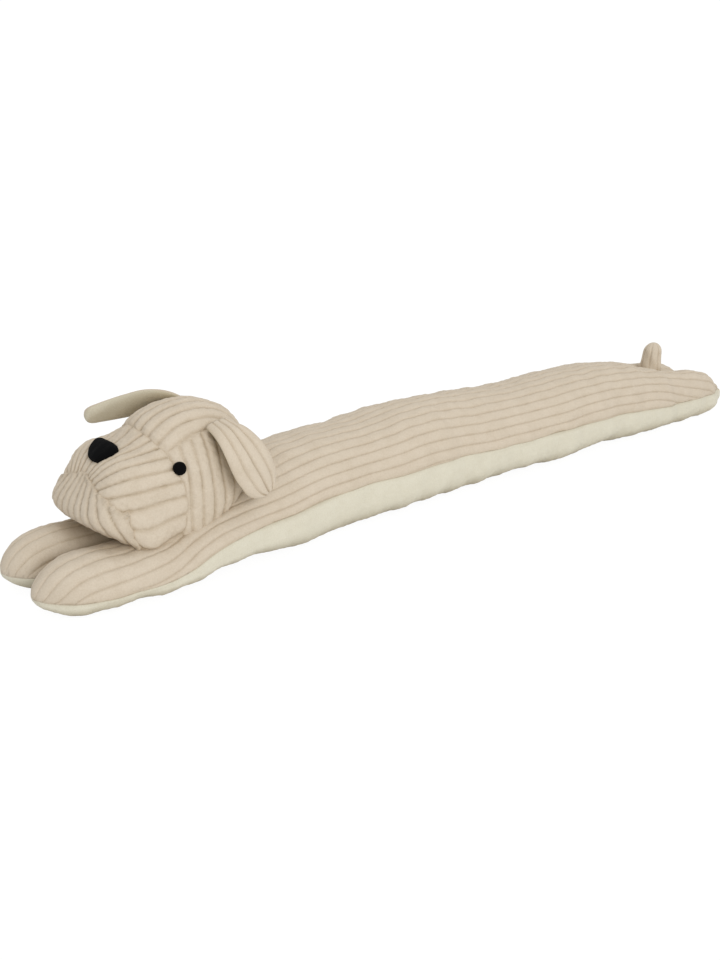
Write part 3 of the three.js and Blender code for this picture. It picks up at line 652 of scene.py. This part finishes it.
def panel_distances(points):
    """How far inside each panel of the head its points are, measured in the side or front view."""
    x, y, z = points[..., 0], points[..., 1], points[..., 2]
    front = within(MUZZLE_SIDE, x, z) + lumps(points, **FRONT_SEAM_WANDER)
    below = np.minimum(within(CHIN_FRONT, y, z), within(CHIN_SIDE, x, z)) + lumps(points, **CHIN_SEAM_WANDER)
    side = np.minimum(within(CHEEK_SIDE, x, z), np.abs(y) - CHEEK_DEPTH)
    return {
        "head_chin": np.minimum(front, below),
        "head_muzzle": np.minimum(front, -below),
        "cheek_left": np.minimum(np.minimum(-front, side), -y),
        "cheek_right": np.minimum(np.minimum(-front, side), y),
        "head_crown": np.minimum(-front, -side),
    }


# The ribs of the head are 10.2 mm apart where they lie flat, a little closer than the body's.
HEAD_PITCH = 10.2
CROWN_RIB_RADIUS = 52
CHEEK_RIB_SHIFT = 0.3
MUZZLE_RIBS = {"z": 70, "count": 28, "crowding": 0.38, "crowded_turns": 2.6, "fade": 0.26}
CHIN_RIBS = {"x": -350, "z": 75, "count": 40, "widening": 0.007}


def across_phase(points):
    """Ribs that run from front to back, side by side across the head."""
    turn = np.arcsin(np.clip(points[..., 1] / CROWN_RIB_RADIUS, -1, 1))
    return turn * CROWN_RIB_RADIUS / HEAD_PITCH


def upright_phase(points):
    """Ribs that run up and down, side by side from front to back."""
    return (points[..., 0] - HEAD_CORE[0]) / HEAD_PITCH + CHEEK_RIB_SHIFT


def around_phase(points):
    """Ribs that run back from the nose, side by side around the muzzle, closest together above."""
    angle = np.arctan2(points[..., 1], points[..., 2] - MUZZLE_RIBS["z"])
    turn = np.abs(angle)
    crowding = MUZZLE_RIBS["crowding"] * np.cos(MUZZLE_RIBS["crowded_turns"] * turn)
    evenly = turn / (2 * math.pi) * MUZZLE_RIBS["count"]
    return np.sign(angle) * (evenly - crowding * ease(0, MUZZLE_RIBS["fade"], turn))


def chin_phase(points):
    """Ribs that run up the chin, side by side round its front and wider apart below."""
    angle = np.arctan2(points[..., 1], CHIN_RIBS["x"] - points[..., 0])
    widening = 1 + CHIN_RIBS["widening"] * (points[..., 2] - CHIN_RIBS["z"])
    return angle / (2 * math.pi) * CHIN_RIBS["count"] * widening


# Loose tufts stand up along the chin's seam, and both corners of the jaw hang down over the paws.
HEAD_GROOVE_SHADE = 0.36
HEAD_RIB_WANDER = {"height": 0.12, "width": 60, "seed": 21}
HEAD_LUMPS = {"height": 0.9, "width": 45, "seed": 22}
HEAD_PILE = {"height": 0.3, "width": 6, "seed": 24}
HEAD_SEAM_FADE = (-1, 1.5)
SEAM_TUFTS = {"height": 0.4, "width": 4.5, "seed": 23}
SEAM_TUFT_REACH = 3
CHIN_TUFTS = {"height": 1.4, "width": 5, "seed": 23}
CHIN_TUFT_HEIGHT = 2.2
CHIN_TUFT_REACH = 2.2
SEAM_UNDER = 2.2
JOWL = {"x": -366, "reach": 16, "out": 6, "down": 8, "top": 75, "bottom": 45, "inner": 20, "outer": 44}
PANELS = [
    {"name": "head_crown", "axis": 1, "phase": across_phase, "core": (-300, 0, 85)},
    {"name": "head_chin", "axis": 1, "phase": chin_phase, "core": (-375, 0, 66)},
    {"name": "head_muzzle", "axis": 0, "phase": around_phase, "core": (-360, 0, 76)},
    {"name": "cheek_left", "axis": 0, "phase": upright_phase, "core": (-300, -24, 75)},
    {"name": "cheek_right", "axis": 0, "phase": upright_phase, "core": (-300, 24, 75)},
]


def with_jowls(moved, points):
    """The moved points of a panel with the corners of the jaw drawn out and down."""
    x, y, z = points[..., 0], points[..., 1], points[..., 2]
    along = np.exp(-((x - JOWL["x"]) / JOWL["reach"]) ** 2)
    jowl = along * ease(JOWL["top"], JOWL["bottom"], z) * ease(JOWL["inner"], JOWL["outer"], np.abs(y))
    moved[..., 1] += np.sign(y) * JOWL["out"] * jowl
    moved[..., 2] -= JOWL["down"] * jowl
    return moved


def open_edges(faces):
    """The edges that belong to one face alone, which are the rim of a panel."""
    edges = np.concatenate([faces[:, [k, (k + 1) % 4]] for k in range(4)])
    pairs = np.sort(edges, axis=1)
    _, first, counts = np.unique(pairs, axis=0, return_index=True, return_counts=True)
    return edges[first[counts == 1]]


def head_panel(name, axis, phase, core):
    """Makes one panel of the head as a filled wedge, its plush rolled under at every seam."""
    points = HEAD_GRIDS[axis]
    inside = panel_distances(points)[name]
    ribs = rib_depth(phase(points) + lumps(points, **HEAD_RIB_WANDER)) * ease(*HEAD_SEAM_FADE, inside)
    if name == "head_chin":
        tufts = (CHIN_TUFT_HEIGHT + lumps(points, **CHIN_TUFTS)) * np.exp(-np.abs(inside) / CHIN_TUFT_REACH)
    else:
        tufts = lumps(points, **SEAM_TUFTS) * np.exp(-np.abs(inside) / SEAM_TUFT_REACH)
    out = lumps(points, **HEAD_LUMPS) + lumps(points, **HEAD_PILE) + tufts - ribs - seam_depth(inside)
    moved = with_jowls(points + skin_normals(points) * out[..., None], points)
    faces = grid_faces(*points.shape[:2], wrapped=True)
    kept = faces[inside.ravel()[faces].max(axis=1) > -SEAM_UNDER]
    used, renumbered = np.unique(kept, return_inverse=True)
    kept = renumbered.reshape(kept.shape)
    closing = [[b, a, len(used)] for a, b in open_edges(kept)]
    add_piece(
        name,
        np.vstack([moved.reshape(-1, 3)[used], core]),
        [*kept.tolist(), *closing],
        np.append(shading(ribs, inside, HEAD_GROOVE_SHADE).ravel()[used], 0),
        RIBBED_PLUSH,
    )


HEAD_GRIDS = {axis: head_grid(axis) for axis in (0, 1)}
for panel in PANELS:
    head_panel(**panel)


# Ears. Two floppy flaps with a round tip, sewn into the crown's seam at their roots. Each is an outer
# layer of ribbed plush and a lining of plain plush, sewn together round the edge and lightly filled.
# The near ear hangs down, and the far one is flung forward and up, so that its lining shows.
EAR_THICKNESS = 8
EAR_FULLNESS = 2.6
EAR_RIBS = 4
EAR_RIB_SHARE = 0.8
EAR_GROOVE_SHADE = 0.4
# The lining is painted darker all over: partly its own tan tone, partly painted shade, as it faces away from
# the light.
LINING_SHADE = 0.15
EAR_LUMPS = {"height": 0.5, "width": 22, "seed": 31}
EAR_STEPS = 60
EAR_COLUMNS = 65
TIP_STEPS = 9
TIP_ROWS = 0.28
THINNING_WIDTH = 12
LEAST_LIFT = 0.02
LEFT_EAR = [
    {"row": 0, "x": -293, "y": -36, "z": 120, "width": 24, "fx": 0.1, "fy": -0.55, "fz": 0.83},
    {"row": 1, "x": -290, "y": -49, "z": 115, "width": 30, "fx": 0.1, "fy": -0.8, "fz": 0.6},
    {"row": 2, "x": -285, "y": -57, "z": 104, "width": 35, "fx": 0.1, "fy": -0.96, "fz": 0.25},
    {"row": 3, "x": -280, "y": -61, "z": 92, "width": 38, "fx": 0.1, "fy": -0.99, "fz": 0.1},
    {"row": 4, "x": -276, "y": -62, "z": 84, "width": 37, "fx": 0.1, "fy": -0.99, "fz": 0.1},
    {"row": 5, "x": -274, "y": -62, "z": 80, "width": 36, "fx": 0.1, "fy": -0.99, "fz": 0.1},
]
RIGHT_EAR = [
    {"row": 0, "x": -286, "y": 27, "z": 120, "width": 20, "fx": 0.3, "fy": 0.55, "fz": 0.78},
    {"row": 1, "x": -298, "y": 33, "z": 127, "width": 24, "fx": 0.3, "fy": 0.55, "fz": 0.78},
    {"row": 2, "x": -311, "y": 39, "z": 127, "width": 28, "fx": 0.3, "fy": 0.7, "fz": 0.65},
    {"row": 3, "x": -326, "y": 45, "z": 124, "width": 28, "fx": 0.35, "fy": 0.72, "fz": 0.6},
    {"row": 4, "x": -339, "y": 49, "z": 122, "width": 24, "fx": 0.35, "fy": 0.75, "fz": 0.55},
    {"row": 5, "x": -351, "y": 52, "z": 120, "width": 20, "fx": 0.35, "fy": 0.75, "fz": 0.55},
]


def unit(vectors):
    """Vectors brought to a length of 1."""
    return vectors / np.linalg.norm(vectors, axis=-1, keepdims=True)


def ear_layer(name, rows, outer, material):
    """Makes one layer of an ear, which is half of a flat oval section all along it."""
    last = len(rows) - 1
    at = lambda turn, column: between(rows, min(turn, last), column, key="row")
    tip_turns = last + TIP_ROWS * np.sin(np.linspace(0, math.pi / 2, TIP_STEPS))[1:]
    turns = np.concatenate([np.linspace(0, last, EAR_STEPS), tip_turns])
    beyond = np.maximum(turns - last, 0) / TIP_ROWS
    centres = np.array([[at(turn, c) for c in "xyz"] for turn in turns])
    to_tip = unit(centres[EAR_STEPS - 1] - centres[EAR_STEPS - 2]) * at(last, "width") / 2
    centres += beyond[:, None] * to_tip
    widths = np.array([at(turn, "width") for turn in turns]) * np.sqrt(np.clip(1 - beyond**2, 0, 1))
    along = unit(np.gradient(centres, axis=0))
    face = np.array([[at(turn, c) for c in ("fx", "fy", "fz")] for turn in turns])
    across = unit(np.cross(face, along))
    out = np.cross(along, across) * (1 if outer else -1)
    t = np.sin(np.linspace(-math.pi / 2, math.pi / 2, EAR_COLUMNS))
    ribs = rib_depth((t + 1) * EAR_RIBS / 2) * (1 - t**6) * (EAR_RIB_SHARE if outer else 0)
    rise = EAR_THICKNESS / 2 * (1 - np.abs(t) ** EAR_FULLNESS) ** 0.5
    thickness = np.minimum(1, widths / THINNING_WIDTH)
    line = centres[:, None] + across[:, None] * t[None, :, None] * widths[:, None, None] / 2
    lift = (rise - ribs)[None, :] * thickness[:, None]
    lift = np.maximum(lift + lumps(line, **EAR_LUMPS) * (1 - t**2)[None, :], LEAST_LIFT)
    points = line + out[:, None] * lift[..., None]
    flat = line[:, ::-1][:, 1:-1]
    ring = np.concatenate([points, flat], axis=1)
    count = ring.shape[1]
    faces = [list(face) for face in grid_faces(len(turns), count, wrapped=True)]
    faces.append(list(range(count)))
    rim = (1 - np.abs(t))[None] * widths[:, None] / 2
    dark = shading(np.broadcast_to(ribs, lift.shape), rim, EAR_GROOVE_SHADE) + (0 if outer else LINING_SHADE)
    groove = np.concatenate([dark, np.zeros((len(turns), count - len(t)))], axis=1)
    add_piece(name, ring.reshape(-1, 3), faces, groove.ravel(), material)


for ear, rows in (("ear_left", LEFT_EAR), ("ear_right", RIGHT_EAR)):
    ear_layer(ear, rows, True, RIBBED_PLUSH)
    ear_layer(ear + "_lining", rows, False, PLAIN_PLUSH)


# Nose and eyes. Small stuffed pads of black plush, sewn down all round on the head. The nose is a
# rounded shield that is wider above, and the eyes are round and domed.
EYE = {"x": -334.5, "z": 95.5, "radius": 5.2, "height": 3}
NOSE = {
    "angle": 152, "off": 0.2, "width": 31, "length": 21, "height": 4.5,
    "narrow": 0.36, "skew": 3, "corner": 0.65,
}
PAD_STEPS = 96
PAD_LEVELS = 20
PAD_SHOULDER = 0.8
PAD_UNDER = {"depth": 0.6, "scale": 0.95}
PAD_LUMPS = {"height": 0.35, "width": 9, "seed": 41}

# The cloth is black polyester plush with a short, dense pile. To the eye it is one deep, even black
# that takes up nearly all the light. Its tufts, too fine to show, are drawn 0.8 mm wide.
# Its root colour is also the colour of its painted shade in creases.
BLACK_PLUSH = plush(
    "black plush, dense short pile", pile="050506", root="020202",
    tuft=0.8, relief=0.3, patches=0.2, sheen=0.0,
)


def pad(name, start, direction, outline, height):
    """Makes a rounded pad on the skin straight out from a point in the head."""
    centre = on_skin(np.array(start, float), np.array(direction, float))
    normal = skin_normals(centre)
    side = unit(np.cross([0, 0, 1], normal))
    top = np.cross(normal, side)
    a, b = outline(np.linspace(0, 2 * math.pi, PAD_STEPS, endpoint=False))
    turns = np.linspace(0, math.pi / 2, PAD_LEVELS)
    dome = zip(np.cos(turns) ** PAD_SHOULDER, np.sin(turns))
    levels = [(0, -PAD_UNDER["depth"]), (PAD_UNDER["scale"], -PAD_UNDER["depth"]), *dome]
    points = np.array([
        centre + scale * (np.outer(a, side) + np.outer(b, top)) + normal * lift * height
        for scale, lift in levels
    ])
    points += normal * lumps(points, **PAD_LUMPS)[..., None]
    faces = grid_faces(len(levels), PAD_STEPS, wrapped=True)
    no_groove = np.zeros(len(levels) * PAD_STEPS)
    add_piece(name, points.reshape(-1, 3), faces, no_groove, BLACK_PLUSH)


def shield(angle):
    """The outline of the nose."""
    up = np.sign(np.sin(angle)) * np.abs(np.sin(angle)) ** NOSE["corner"]
    wide = np.sign(np.cos(angle)) * np.abs(np.cos(angle)) ** NOSE["corner"]
    across = wide * NOSE["width"] / 2 * (1 + NOSE["narrow"] * up) - NOSE["skew"] * up
    return across, up * NOSE["length"] / 2


def disc(angle):
    """The outline of an eye."""
    return EYE["radius"] * np.cos(angle), EYE["radius"] * np.sin(angle)


nose_start = HEAD_CORE + [0, NOSE["off"], 0]
nose_angle = math.radians(NOSE["angle"])
pad("nose", nose_start, (math.cos(nose_angle), 0, math.sin(nose_angle)), shield, NOSE["height"])
pad("eye_left", (EYE["x"], 0, EYE["z"]), (0, -1, 0), disc, EYE["height"])
pad("eye_right", (EYE["x"], 0, EYE["z"]), (0, 1, 0), disc, EYE["height"])


# Tail. A short stuffed tube of the ribbed plush, with upright ribs and a round tip. It stands on
# the rump, where its lower end is sewn in.
TAIL = {"x": 338, "lean": 4, "base": 28, "top": 19, "height": 41, "ribs": 7, "rib_share": 0.6}
TAIL_GROOVE_SHADE = 0.4
TAIL_LUMPS = {"height": 0.9, "width": 16, "seed": 51}
TAIL_RIB_STEPS = 12
TAIL_LEVELS = 30
TAIL_TIP_LEVELS = 14
NO_SEAM_NEAR = math.inf


def tail():
    """Makes the tail, from inside the body to its tip."""
    bottom = between(BODY_SECTIONS, TAIL["x"], "crown") - TAIL["base"] / 2
    phases = np.linspace(0, TAIL["ribs"], TAIL_RIB_STEPS * TAIL["ribs"], endpoint=False)
    angles = phases / TAIL["ribs"] * 2 * math.pi
    tip = TAIL["top"] / 2 / TAIL["height"]
    tip_levels = 1 - tip + tip * np.sin(np.linspace(0, math.pi / 2, TAIL_TIP_LEVELS))[1:]
    levels = np.concatenate([np.linspace(0, 1 - tip, TAIL_LEVELS), tip_levels])
    round_off = np.sqrt(np.clip(1 - (np.maximum(levels - 1 + tip, 0) / tip) ** 2, 0, 1))
    radius = mix(TAIL["base"], TAIL["top"], levels) / 2 * round_off
    ribs = rib_depth(phases)[None] * TAIL["rib_share"] * round_off[:, None]
    out = radius[:, None] - ribs
    leaning = TAIL["x"] + TAIL["lean"] * levels[:, None]
    heights = np.broadcast_to((bottom + levels * TAIL["height"])[:, None], out.shape)
    points = np.stack([leaning + out * np.cos(angles), out * np.sin(angles), heights], axis=-1)
    points[..., :2] += lumps(points, **TAIL_LUMPS)[..., None] * round_off[:, None, None]
    faces = [list(face) for face in grid_faces(len(levels), len(angles), wrapped=True)]
    faces.append(list(range(len(angles))))
    groove = shading(ribs, NO_SEAM_NEAR, TAIL_GROOVE_SHADE).ravel()
    add_piece("tail", points.reshape(-1, 3), faces, groove, RIBBED_PLUSH)


tail()


# Floor. Matt white paper under the object, made 80 m square so that no edge of it shows. It is shown
# overexposed, as paper in a studio is, so that only a faint shadow is left on it.
FLOOR_REACH = 40
PAPER_GLOW = 0.95

floor_corners = [(x * FLOOR_REACH, y * FLOOR_REACH, 0) for x, y in ((-1, -1), (1, -1), (1, 1), (-1, 1))]
floor_mesh = bpy.data.meshes.new("floor")
floor_mesh.from_pydata(floor_corners, [], [(0, 1, 2, 3)])
floor = bpy.data.objects.new("floor", floor_mesh)
bpy.context.scene.collection.objects.link(floor)
paper = bpy.data.materials.new("white paper")
paper.use_nodes = True
paper_tree = paper.node_tree
paper_tree.nodes.clear()
lit = add_node(paper_tree, "ShaderNodeBsdfDiffuse", {"Color": linear("f4f4f4")})
shadowed = add_node(paper_tree, "ShaderNodeBsdfDiffuse", {"Color": linear("595959")})
glow = add_node(paper_tree, "ShaderNodeEmission", {"Strength": PAPER_GLOW})
overexposed = add_node(paper_tree, "ShaderNodeAddShader", {
    0: shadowed.outputs["BSDF"], 1: glow.outputs["Emission"],
})
paper_seen = add_node(paper_tree, "ShaderNodeMixShader", {
    "Fac": add_node(paper_tree, "ShaderNodeLightPath").outputs["Is Camera Ray"],
    1: lit.outputs["BSDF"],
    2: overexposed.outputs["Shader"],
})
add_node(paper_tree, "ShaderNodeOutputMaterial", {"Surface": paper_seen.outputs["Shader"]})
floor_mesh.materials.append(paper)


# Lights. Soft white light from all round, with a large soft box above the object and a stronger one
# on the camera's side.
AROUND_STRENGTH = 0.68
BACKDROP_STRENGTH = 1.05


def soft_light(name, place, size, power):
    """A square area light that faces the object."""
    lamp = bpy.data.lights.new(name, "AREA")
    lamp.size = size
    lamp.energy = power
    light = bpy.data.objects.new(name, lamp)
    light.location = place
    light.rotation_euler = (-Vector(place)).to_track_quat("-Z", "Y").to_euler()
    bpy.context.scene.collection.objects.link(light)


soft_light("overhead", place=(0.3, 0.2, 2.2), size=1.8, power=6)
soft_light("front", place=(-0.6, -2.5, 1.2), size=1.4, power=25)

world = bpy.data.worlds.new("studio")
world.use_nodes = True
studio = world.node_tree
studio.nodes.clear()
white = linear("ffffff")
around = add_node(studio, "ShaderNodeBackground", {"Color": white, "Strength": AROUND_STRENGTH})
backdrop = add_node(studio, "ShaderNodeBackground", {"Color": white, "Strength": BACKDROP_STRENGTH})
studio_seen = add_node(studio, "ShaderNodeMixShader", {
    "Fac": add_node(studio, "ShaderNodeLightPath").outputs["Is Camera Ray"],
    1: around.outputs["Background"],
    2: backdrop.outputs["Background"],
})
add_node(studio, "ShaderNodeOutputWorld", {"Surface": studio_seen.outputs["Shader"]})
bpy.context.scene.world = world
bpy.context.scene.view_settings.view_transform = "Standard"


# Camera. It stands where the photograph was taken, about 0.75 m from the left front paw and a third
# of a metre up, and looks down along the body. Its place is in metres, its angles in degrees and its
# focal length in pixels of the photograph.
PHOTO_HEIGHT = 960
CAMERA = {"place": (-0.6898, -0.6760, 0.3377), "yaw": 49.776, "pitch": 19.498, "focal": 1001}

yaw, pitch = math.radians(CAMERA["yaw"]), math.radians(CAMERA["pitch"])
looking = Vector((math.cos(yaw) * math.cos(pitch), math.sin(yaw) * math.cos(pitch), -math.sin(pitch)))
camera_data = bpy.data.cameras.new("camera")
camera_data.lens = CAMERA["focal"] * camera_data.sensor_width / PHOTO_HEIGHT
camera = bpy.data.objects.new("camera", camera_data)
camera.location = CAMERA["place"]
camera.rotation_euler = looking.to_track_quat("-Z", "Y").to_euler()
bpy.context.scene.collection.objects.link(camera)
bpy.context.scene.camera = camera
